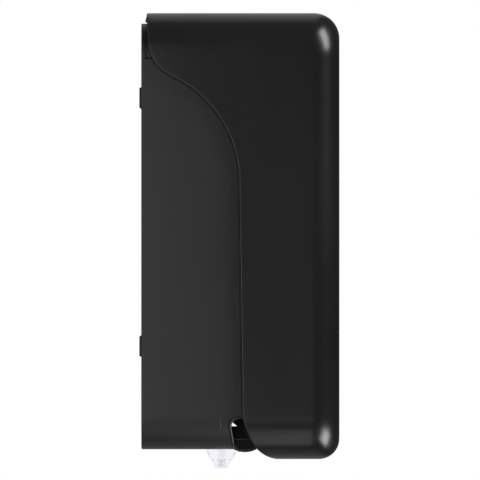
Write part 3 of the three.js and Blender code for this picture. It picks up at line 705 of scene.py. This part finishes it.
SCOOP_RIM = 1.8
SEAM_GAP = 0.8  # from the cover's rear edge back to the fine line beside it
SEAM_END = -205.0
CREASE_Y, CREASE_TOP, CREASE_LENGTH = -52.6, -201, 15
CORNER_IN = 31.0  # from here outwards the lower corners are open
SWING_RADIUS = 28.6  # room for the cover's corner round its hinge
FLOOR_LIP = {"y": -69.0, "z": -215.5, "outer": 15.7, "thickness": 1.9, "start": -118.5, "end": -61.9}
CORNER_BAR = {"low_x": 37.0, "high_x": 38.6, "low_z": -223.2, "high_z": -222.4, "front": -71.8, "back": -55}
FLOOR_RIB = {"inner": 20, "outer": 22}
POCKET_HALF = 36.3
OUTLET_HOLE = 11.2
KEYHOLE = {"x": 24.0, "z": 22, "head": 4.5, "slot": 2.4, "low": 20, "top": 32.4}
FIXING_HOLE = {"z": -140, "radius": 2.6}
SCREW_X, SCREW_Z, SCREW_HOLE = 26.0, (-180.0, -215.0), 2.0


def wall_holes():
    """Keyholes, lower fixing holes and the chassis screws' holes, as cutters."""
    tools = []
    slot = KEYHOLE["slot"]
    for side in (-1, 1):
        x = side * KEYHOLE["x"]
        outline = rounded_rectangle(x - slot, x + slot, KEYHOLE["low"], KEYHOLE["top"], slot - 0.01)
        tools.append(rod("keyhole", "y", KEYHOLE["head"], -10, 10, x, KEYHOLE["z"]))
        tools.append(prism_y("keyhole", outline, -10, 10))
        tools.append(rod("fixing", "y", FIXING_HOLE["radius"], -10, 10, x, FIXING_HOLE["z"]))
        for z in SCREW_Z:
            tools.append(rod("screw_hole", "y", SCREW_HOLE, -10, 10, side * SCREW_X, z))
    return tools


def housing_shell():
    """The walls, the narrower part above the ledge, the flange on the wall, and the open corners."""
    lower = {**HOUSING, "high": LEDGE_Z, "high_corner": 1.2}
    upper = {
        **HOUSING, "half": HOUSING["half"] - 2.4, "low": LEDGE_Z - 10, "low_corner": 0.5, "high_corner": 21.0
    }
    inside = FLANGE_FRONT - 0.1
    walls = join(
        block("rear_shell", lower, HOUSING_BACK, -120, 0.9),
        block("upper_walls", upper, HOUSING_BACK, -120),
    )
    boolean(walls, prism_x("side", housing_side(), -FAR, FAR), "INTERSECT")
    join(walls, block("flange", HOUSING, HOUSING_BACK, FLANGE_FRONT, 0.9))
    upper_room = {**shrunk(upper, HOUSING_WALL), "low": LEDGE_Z - 20, "low_corner": 0.5}
    cut(
        walls,
        block("lower_room", shrunk(lower, HOUSING_WALL), inside, -130),
        block("upper_room", upper_room, inside, -130),
        prism_pair("scoop", scoop(0), CORNER_IN, FAR),
        rod("swing", "x", SWING_RADIUS, CORNER_IN, FAR, HINGE_AT.y, HINGE_AT.z, 128),
        rod("swing", "x", SWING_RADIUS, -FAR, -CORNER_IN, HINGE_AT.y, HINGE_AT.z, 128),
    )
    return walls


def sweep(name, path, half_wide, half_high, sign=1):
    """A bead with an oval section along a path that lies on the housing's side."""
    rings = []
    for i, here in enumerate(path):
        ahead = path[min(i + 1, len(path) - 1)] - path[max(i - 1, 0)]
        ahead.normalize()
        drop = min(max(HOUSING["low"] + HOUSING["low_corner"] - here.z, 0.0) / HOUSING["low_corner"], 1.0)
        out = Vector((math.sqrt(1 - drop * drop), 0, -drop))
        across = ahead.cross(out).normalized()
        out = across.cross(ahead).normalized()
        ring = []
        for k in range(16):
            turn = 2 * math.pi * k / 16
            p = here + across * half_wide * math.cos(turn) + out * half_high * math.sin(turn)
            ring.append((sign * p.x, p.y, p.z))
        rings.append(ring)
    return skin(name, rings)


def floor_lip():
    """The floor's front edge, which dips in a shallow arc below the housing."""
    y, z, outer = FLOOR_LIP["y"], FLOOR_LIP["z"], FLOOR_LIP["outer"]
    start, end = FLOOR_LIP["start"], FLOOR_LIP["end"]
    outline = arc(y, z, outer, start, end, 24) + arc(y, z, outer - FLOOR_LIP["thickness"], end, start, 24)
    return prism_x("floor_lip", outline, -CORNER_IN, CORNER_IN)


def floor_ribs():
    """Two small ribs on the floor beside the outlet, which close the line of sight under the chassis."""
    outline = [(-60, -222.4), (-64.4, -222.4), (-64.4, -229.2), (-62, -228.6), (-60, -228)]
    inner, outer = FLOOR_RIB["inner"], FLOOR_RIB["outer"]
    return prism_x("stop", outline, inner, outer), prism_x("stop", outline, -outer, -inner)


def corner_bar(sign):
    """The thin bar across an open corner, on one side."""
    low_x, high_x, low_z, high_z = (CORNER_BAR[key] for key in ("low_x", "high_x", "low_z", "high_z"))
    corners = [(low_x, low_z), (low_x, high_z), (high_x, high_z), (high_x, low_z)]
    section = rounded_corners(corners, 0.25)
    ends = (CORNER_BAR["front"], CORNER_BAR["back"])
    return skin("corner_bar", [[(sign * x, y, z) for x, z in section] for y in ends])


def along_side(points):
    """Points in (y, z) laid on the housing's side, which curves in towards its bottom."""
    radius = HOUSING["low_corner"]
    centre = HOUSING["low"] + radius
    path = []
    for y, z in points:
        drop = min(max(centre - z, 0.0), radius)
        path.append(Vector((HOUSING["half"] - radius + math.sqrt(radius * radius - drop * drop), y, z)))
    return path


def seam_line():
    """The fine line that follows the cover's S on the housing, just behind the cover's rim."""
    points = []
    for before, here, after in zip(REAR_EDGE, REAR_EDGE[1:], REAR_EDGE[2:]):
        ahead = (Vector(after) - Vector(before)).normalized()
        beside = Vector(here) + SEAM_GAP * Vector((-ahead.y, ahead.x))
        if SEAM_END < beside.y < LEDGE_Z - 2:
            points.append(tuple(beside))
    return along_side(points)


def rear_housing():
    """The housing's shell with its raised lines, its small bars and ribs, and its holes."""
    shell = housing_shell()
    join(shell, floor_lip(), *floor_ribs())
    rim = along_side([p for p in scoop(SCOOP_RIM / 2) if p[0] > -66.4])
    crease = along_side([(CREASE_Y, CREASE_TOP - i) for i in range(CREASE_LENGTH + 1)])
    for sign in (-1, 1):
        join(
            shell,
            sweep("rim", rim, SCOOP_RIM / 2 + 0.1, 1.1, sign),
            sweep("seam", seam_line(), 0.3, 0.3, sign),
            sweep("crease", crease, 0.5, 0.2, sign),
        )
    for sign in (-1, 1):
        join(shell, corner_bar(sign))
    tools = [rod("outlet_hole", "z", OUTLET_HOLE, -245, -220, 0, NOZZLE_Y, 64)]
    for node in ("upper_wall_pad", "lower_wall_pad"):
        low, high = box_mm(node)
        outline = rounded_rectangle(-POCKET_HALF, POCKET_HALF, low.z - 0.3, high.z + 0.3, 3.0)
        tools.append(prism_y("pocket", outline, HOUSING_BACK - 0.6, 10))
    cut(shell, *tools, *wall_holes())
    smooth(shell, angle=35)
    return finish_piece(shell, "housing", "housing_plastic", "rear_housing")


# ---- The rest of the outside ----------------------------------------------------------------------

def wall_pad(node):
    """A rubber pad with rounded edges and shallow grooves across the face that meets the wall."""
    low, high = box_mm(node)
    rings = []
    for inset, y in ((0.0, low.y), (0.0, high.y - 0.6), (0.18, high.y - 0.25), (0.6, high.y)):
        outline = rounded_rectangle(low.x + inset, high.x - inset, low.z + inset, high.z - inset, 2.7 - inset)
        rings.append([(x, y, z) for x, z in outline])
    pad = skin(node + "_looks", rings)
    for i in range(-2, 3):
        z = (low.z + high.z) / 2 + i * 2.4
        outline = rounded_rectangle(low.x + 5, high.x - 5, z - 0.5, z + 0.5, 0.49, 4)
        cut(pad, prism_y("groove", outline, high.y - 0.4, high.y + 2))
    smooth(pad)
    return finish_piece(pad, "housing", "pad_rubber", node)


def palm_dish(front, middle):
    """A cutter that hollows a shallow dish for the palm out of the push plate."""
    half_x, half_z, deep, clear = 24.0, 25.0, 1.3, 0.04
    rings = []
    for i in range(61):
        z = middle + half_z * (i / 30 - 1)
        ring = []
        for j in range(61):
            x = half_x * (j / 30 - 1)
            away = min(math.hypot(x / half_x, (z - middle) / half_z), 1.0)
            ring.append((x, front - clear + deep * (0.5 + 0.5 * math.cos(math.pi * away)), z))
        rings.append(ring + [(half_x, front - 5, z), (-half_x, front - 5, z)])
    return skin("palm_dish", rings)


def push_paddle():
    """The push plate: a dished face with a rounded edge, a skirt, two arms and the pusher."""
    half, low, top = PADDLE_HIGH.x, PADDLE_LOW.z, PADDLE_FACE_TOP
    front, plate, skirt, depth, edge = PADDLE_LOW.y, 2.8, 2.0, 8.5, 1.3

    def outline(inset):
        return rounded_rectangle(-half + inset, half - inset, low + inset, top - inset, PADDLE_CORNER - inset)

    rows = []
    for step in range(6):
        turn = math.pi / 2 * step / 5
        ring = outline(edge * (1 - math.sin(turn)))
        rows.append([(x, front + edge * (1 - math.cos(turn)), z) for x, z in ring])
    rows.append([(x, front + depth, z) for x, z in outline(0)])
    rows.append([(x, front + depth, z) for x, z in outline(skirt)])
    rows.append([(x, front + plate, z) for x, z in outline(skirt)])
    tray = cut(skin("push_plate", rows), palm_dish(front, low + 30))

    back = front + plate
    root = back - SUNK
    pin = PADDLE_PIN_AT
    arm = [(root, pin.z - 22), (back + 0.4, pin.z - 6)]
    arm += arc(pin.y, pin.z, 4.0, 180, 0, 24)
    arm += [(pin.y, pin.z - 9), (pin.y - 3, pin.z - 22)]
    spine = [(root, -204), (root, low + 1), (PADDLE_HIGH.y, -216.5), (PADDLE_HIGH.y, -209.5)]
    join(tray, prism_pair("arm", arm, 24.0, 28.7), prism_x("spine", spine, -5, 5))
    for x in (-14, 14):
        rib = [(root, top - 3), (root, low + 3), (back + 3.5, low + 5), (back + 3.5, top - 5)]
        join(tray, prism_x("rib", rib, x - 0.7, x + 0.7))
    cut(tray, rod("bore", "x", 1.72, -30, 30, pin.y, pin.z))
    smooth(tray, angle=35)
    return finish_piece(tray, "paddle", "paddle_plastic", "push_paddle")


def nozzle():
    """The stepped outlet cone, with its edges softened."""
    profile = [
        (3.9, -200.3), (6, -200.3), (6, -203), (12, -203), (12, -205.4), (6, -205.4), (6, -221.5),
        (9.9, -225), (9.6, -231.6), (8.4, -233), (8, -235.6), (6.1, -236.6), (5.7, -238.4), (4.5, -239.4),
        (4.2, NOZZLE_LOW.z), (2.9, NOZZLE_LOW.z), (2.9, -236), (2, -236), (2, -208.6), (3.9, -208.6),
    ]
    made = turned("outlet_nozzle", rounded_corners(profile, 0.5), NOZZLE_Y)
    smooth(made, angle=60)
    return finish_piece(made, "outlet", "pump_plastic", "nozzle")


def sight_window():
    """A smoked lens, slightly domed, on a flange behind the cover's wall."""
    half = WINDOW_SLOT_HALF - 0.3
    low, high = WINDOW_LOW.z + WINDOW_FLANGE + 0.3, WINDOW_HIGH.z - WINDOW_FLANGE - 0.3
    front = WINDOW_LOW.y
    middle = (low + high) / 2
    rows = []

    def stadium(inset):
        radius = half - inset
        upper = arc(0, high - half, radius, 0, 180, 24)
        return upper + arc(0, low + half, radius, 180, 360, 24)

    for inset in (5.4, 4.6, 3.8, 3.0, 2.2, 1.4, 0.8, 0.35, 0.1, 0.0):
        rise = 0.9 * (inset / half) ** 0.5 if inset > 0.3 else inset * 0.6
        rows.append([(x, front + max(0.9 - rise, 0.0) * 0.6, z) for x, z in stadium(inset)])
    flange_front = WINDOW_HIGH.y - 1.4
    rows.append([(x, flange_front, z) for x, z in stadium(0.0)])
    rows.append([(x, flange_front, z) for x, z in stadium(-WINDOW_FLANGE)])
    rows.append([(x, WINDOW_HIGH.y, z) for x, z in stadium(-WINDOW_FLANGE)])
    made = skin("window_lens", rows)
    smooth(made, angle=35)
    return finish_piece(made, "cover", "smoked_plastic", "sight_window")


def lock():
    """The lock's body and the keyed barrel in it."""
    bottom, top = LOCK_LOW.z, LOCK_HIGH.z
    under = COVER_HIGH.z - COVER_WALL - 0.3
    flange = LOCK_HIGH.x
    body = [(LOCK_BORE, bottom), (LOCK_RING, bottom), (LOCK_RING, under - 2), (flange, under - 2),
            (flange, under), (LOCK_RING, under), (LOCK_RING, top), (LOCK_BORE, top)]
    ring = turned("lock_ring", rounded_corners(body, 0.35), LOCK_Y)
    smooth(ring, angle=50)
    finish_piece(ring, "cover", "lock_metal", "lock_body")
    radius = BARREL_HIGH.x
    face = BARREL_HIGH.z
    rows = [(radius, BARREL_LOW.z), (radius, face - 0.4), (radius - 0.12, face - 0.12), (radius - 0.4, face)]
    rows += [(3.9, face), (3.7, face - 0.25), (3.5, face - 0.25)]
    rings = [[(x, y, z) for x, y in arc(0, LOCK_Y, r, 0, 360, 72)[:-1]] for r, z in rows]
    barrel = skin("lock_plug", rings)
    keyway = rounded_rectangle(-3.2, 3.2, LOCK_Y - 0.7, LOCK_Y + 0.7, 0.3, 4)
    slot = skin("keyway", [[(x, y, z) for x, y in keyway] for z in (face - 3, face + 1)])
    cut(barrel, slot, rod("tapped", "z", 1.7, BARREL_LOW.z - 2, BARREL_LOW.z + 7.5, 0, LOCK_Y))
    smooth(barrel, angle=40)
    return finish_piece(barrel, "lock", "lock_metal", "lock_barrel")


# ---- Inside ---------------------------------------------------------------------------------------

BOTTLE_WALL = 1.4
BOTTLE_SHOULDER = -150.0
NECK = {"radius": 15.0, "bore": 12.4, "top": -160.0}
# Each groove's section, as (height from its middle, depth).
GROOVE = ((-2.4, 0.0), (-1.5, 0.25), (-0.7, 0.8), (0, 1.0), (0.7, 0.8), (1.5, 0.25), (2.4, 0.0))


def bottle_ring(z, inset, scale=1.0):
    """A rounded horizontal section of the bottle, drawn in towards its neck by `scale`."""
    half_x, half_y, corner = BOTTLE_HIGH.x, (BOTTLE_HIGH.y - BOTTLE_LOW.y) / 2, 14.0
    middle = (BOTTLE_HIGH.y + BOTTLE_LOW.y) / 2
    ring = []
    for x, y in rounded_rectangle(-half_x + inset, half_x - inset, middle - half_y + inset,
                                  middle + half_y - inset, corner - inset, 14):
        ring.append((x * scale, NOZZLE_Y + (y - NOZZLE_Y) * scale, z))
    return ring


def bottle_rows(wall):
    """The bottle's sections from its neck up, `wall` inside its outside."""
    top, low = BOTTLE_HIGH.z, BOTTLE_SHOULDER
    rows = []
    for z, scale in ((-168, 0.36), (-162, 0.56), (-157.5, 0.76), (-154, 0.9)):
        rows.append(bottle_ring(z + wall, wall, scale))
    for z, inset in ((low + 1, 1.2), (low + 4, 0.3), (low + 8, 0.0)):
        rows.append(bottle_ring(z + wall, inset + wall))
    for groove in (low + 22, top - 26):
        for offset, depth in GROOVE:
            rows.append(bottle_ring(groove + offset, depth + wall))
    for z, inset, scale in ((top - 9, 0.0, 1), (top - 5, 0.4, 1), (top - 2, 1.6, 1), (top - 0.6, 3.4, 1),
                            (top, 5.6, 0.97)):
        rows.append(bottle_ring(z - wall, inset + wall, scale))
    return rows


def reservoir_bottle():
    """A hollow blow-moulded bottle: rounded shoulders, a waist groove at each end and a plain neck."""
    body = skin("bottle", bottle_rows(0.0))
    join(body, rod("neck", "z", NECK["radius"], BOTTLE_LOW.z, NECK["top"], 0, NOZZLE_Y, 72))
    cut(body, skin("room", bottle_rows(BOTTLE_WALL)),
        rod("mouth", "z", NECK["bore"], BOTTLE_LOW.z - 1, NECK["top"], 0, NOZZLE_Y, 72))
    smooth(body, angle=45)
    return finish_piece(body, "housing", "bottle_plastic", "reservoir_bottle")


def bottle_collar():
    """The ribbed screw collar that holds the pump in the bottle's neck."""
    outer, top, bottom = COLLAR_HIGH.x, COLLAR_HIGH.z, COLLAR_LOW.z
    mouth, room, floor_top = 9, 15.4, bottom + 2.2
    profile = [(mouth, bottom), (outer - 0.8, bottom), (outer, bottom + 0.8), (outer, bottom + 4),
               (outer - 0.3, top - 2.5), (outer - 0.6, top), (room, top), (room, floor_top), (mouth, floor_top)]
    steps = 216

    def ribs(radius, z, i):
        grooved = radius > outer - 0.7 and bottom + 1.5 < z < top - 1.0
        return radius - 0.35 * (0.5 + 0.5 * math.cos(2 * math.pi * i / 6)) if grooved else radius

    made = turned("ribbed_collar", rounded_corners(profile, 0.4, 2), NOZZLE_Y, steps, flute=ribs)
    smooth(made, angle=50)
    return finish_piece(made, "housing", "pump_plastic", "bottle_collar")


def pump_coil():
    """The pump's return spring, built as a coil at one length. In the pump it shortens against the cylinder's head
    as the piston rises.
    """
    low, high = box_mm("pump_spring")
    wire, turns, steps = 0.7, 6, 36
    coil = high.x - wire
    rings = []
    for i in range(turns * steps + 1):
        turn = 2 * math.pi * i / steps
        z = low.z + wire + (high.z - low.z - 2 * wire) * i / (turns * steps)
        section = arc(coil, z, wire, 0, 360, 10)[:-1]
        rings.append([(r * math.cos(turn), NOZZLE_Y + r * math.sin(turn), up) for r, up in section])
    made = smooth(skin("pump_coil", rings), angle=60)
    finish_piece(made, "housing", "steel", "pump_spring")
    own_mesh(made)


def dress_cad_nodes(replaced):
    """Finishes, softened edges and smooth shading for the CAD nodes that stay in view."""
    slots = {part["node"]: part["material_slot"] for part in frame["record"]["subparts"]}
    softened = {"pump_chassis": 0.5, "dispense_lever": 0.6, "latch_keeper": 0.25, "lock_cam": 0.3}
    for name, node in frame["nodes"].items():
        if name in replaced:
            continue
        node.data.materials.clear()
        node.data.materials.append(FINISH[slots[name]])
        weld = node.modifiers.new("weld", "WELD")
        weld.merge_threshold = 6e-5
        if name in softened or "screw" in name or "pin" in name:
            modifier = node.modifiers.new("edges", "BEVEL")
            modifier.width = softened.get(name, 0.2) / METRE
            modifier.segments = 2
            modifier.limit_method = "ANGLE"
            modifier.angle_limit = math.radians(35)
            modifier.harden_normals = True
        node.modifiers.new("normals", "WEIGHTED_NORMAL")


# ---- Stage, light and camera ----------------------------------------------------------------------

CENTRE = (CAD_BOX[0] + CAD_BOX[1]) / 2
CAMERA_DISTANCE = 12.0
VIEW_HEIGHT = 0.3139  # what the picture takes in at the object, in metres


def camera():
    """Level with the object, square on to its left side, with a long lens."""
    data = bpy.data.cameras.new("camera")
    data.lens = data.sensor_width * CAMERA_DISTANCE / VIEW_HEIGHT
    data.clip_end = 40
    made = bpy.data.objects.new("camera", data)
    bpy.context.scene.collection.objects.link(made)
    made.location = (CENTRE.x - CAMERA_DISTANCE, CENTRE.y - 0.0004, CENTRE.z + 0.0006)
    made.rotation_euler = Vector((1, 0, 0)).to_track_quat("-Z", "Y").to_euler()
    bpy.context.scene.camera = made


def softbox(name, place, size, power, aim=None):
    """A rectangular lamp, unseen by the camera. Its place, and the point `aim` that it faces, are
    counted from the object's centre. Without `aim` it faces the centre."""
    data = bpy.data.lights.new(name, "AREA")
    data.shape = "RECTANGLE"
    data.size, data.size_y = size
    data.energy = power
    made = bpy.data.objects.new(name, data)
    bpy.context.scene.collection.objects.link(made)
    made.location = CENTRE + Vector(place)
    towards = (CENTRE + Vector(aim) if aim else CENTRE) - made.location
    made.rotation_euler = towards.to_track_quat("-Z", "Y").to_euler()
    made.visible_camera = False


def room_light(world):
    """Dim light from all round, brighter from the wall's side and nearly black from the front and below.
    The camera, and light that comes through clear plastic, see a plain white backdrop."""
    nodes, links = world.node_tree.nodes, world.node_tree.links
    direction = nodes.new("ShaderNodeSeparateXYZ")
    links.new(nodes.new("ShaderNodeTexCoord").outputs["Generated"], direction.inputs["Vector"])
    strength = nodes.new("ShaderNodeMapRange")
    for socket, value in (("From Min", -0.7), ("From Max", 0.9), ("To Min", 0.015), ("To Max", 0.3)):
        strength.inputs[socket].default_value = value
    links.new(direction.outputs["Y"], strength.inputs["Value"])
    below = nodes.new("ShaderNodeMapRange")
    for socket, value in (("From Min", -0.95), ("From Max", -0.2), ("To Min", 0.1), ("To Max", 1.0)):
        below.inputs[socket].default_value = value
    links.new(direction.outputs["Z"], below.inputs["Value"])
    both = nodes.new("ShaderNodeMath")
    both.operation = "MULTIPLY"
    links.new(strength.outputs["Result"], both.inputs[0])
    links.new(below.outputs["Result"], both.inputs[1])
    lit = nodes["Background"]
    lit.inputs["Color"].default_value = (1, 1, 1, 1)
    links.new(both.outputs["Value"], lit.inputs["Strength"])
    seen = nodes.new("ShaderNodeBackground")
    seen.inputs["Color"].default_value = (1, 1, 1, 1)
    path = nodes.new("ShaderNodeLightPath")
    straight = nodes.new("ShaderNodeMath")
    straight.operation = "MAXIMUM"
    links.new(path.outputs["Is Camera Ray"], straight.inputs[0])
    links.new(path.outputs["Is Transmission Ray"], straight.inputs[1])
    mix = nodes.new("ShaderNodeMixShader")
    links.new(straight.outputs["Value"], mix.inputs["Fac"])
    links.new(lit.outputs["Background"], mix.inputs[1])
    links.new(seen.outputs["Background"], mix.inputs[2])
    links.new(mix.outputs["Shader"], nodes["World Output"].inputs["Surface"])


def studio():
    """A white backdrop, a dim room, and soft boxes that draw the edges."""
    world = bpy.data.worlds.new("studio")
    bpy.context.scene.world = world
    world.use_nodes = True
    room_light(world)
    softbox("wall_side", (-0.4, 0.24, -0.02), (0.3, 0.7), 0.8, aim=(0, 0.24, -0.02))
    softbox("top_front", (-0.27, -0.73, 0.64), (0.4, 0.74), 9.0)
    softbox("low_front", (-0.185, -0.55, -0.575), (0.36, 0.4), 5.2)
    softbox("low_side", (-0.27, -0.03, -0.52), (0.09, 0.4), 0.2)
    softbox("back_top", (0.8, 0.0, 0.72), (0.5, 1.4), 0.95)
    softbox("back_low", (0.42, 0.0, -0.5), (0.35, 0.9), 0.25)
    softbox("far_side", (-1.2, 0.1, -0.3), (0.9, 0.25), 0.4)
    bpy.context.scene.view_settings.view_transform = "Standard"


def floor():
    """A plain pale floor below the object. It neither lights the object nor shows in its gloss."""
    half, top, thickness = 4000.0, -760.0, 6
    rim = rounded_rectangle(-half, half, -half, half, 80)
    made = skin("floor", [[(x, y, level) for x, y in rim] for level in (top - thickness, top)])
    plain = material("floor", (0.86, 0.86, 0.86), 0.7, Emission_Color=(1, 1, 1, 1), Emission_Strength=0.6)
    grain = texture(plain, "ShaderNodeTexNoise", 8, Detail=3.0)
    tint(plain, grain, (0.85, 0.85, 0.85), (0.87, 0.87, 0.87))
    made.data.materials.append(plain)
    made.visible_glossy = False
    made.visible_diffuse = False


# ---- Build ----------------------------------------------------------------------------------------

front_cover()
cover_bosses()
rear_housing()
wall_pad("upper_wall_pad")
wall_pad("lower_wall_pad")
push_paddle()
nozzle()
sight_window()
lock()
reservoir_bottle()
bottle_collar()
pump_coil()
REPLACED = {
    "front_cover", "rear_housing", "upper_wall_pad", "lower_wall_pad", "push_paddle", "nozzle",
    "sight_window", "lock_body", "lock_barrel", "reservoir_bottle", "bottle_collar", "pump_spring",
}
dress_cad_nodes(REPLACED)
camera()
studio()
floor()
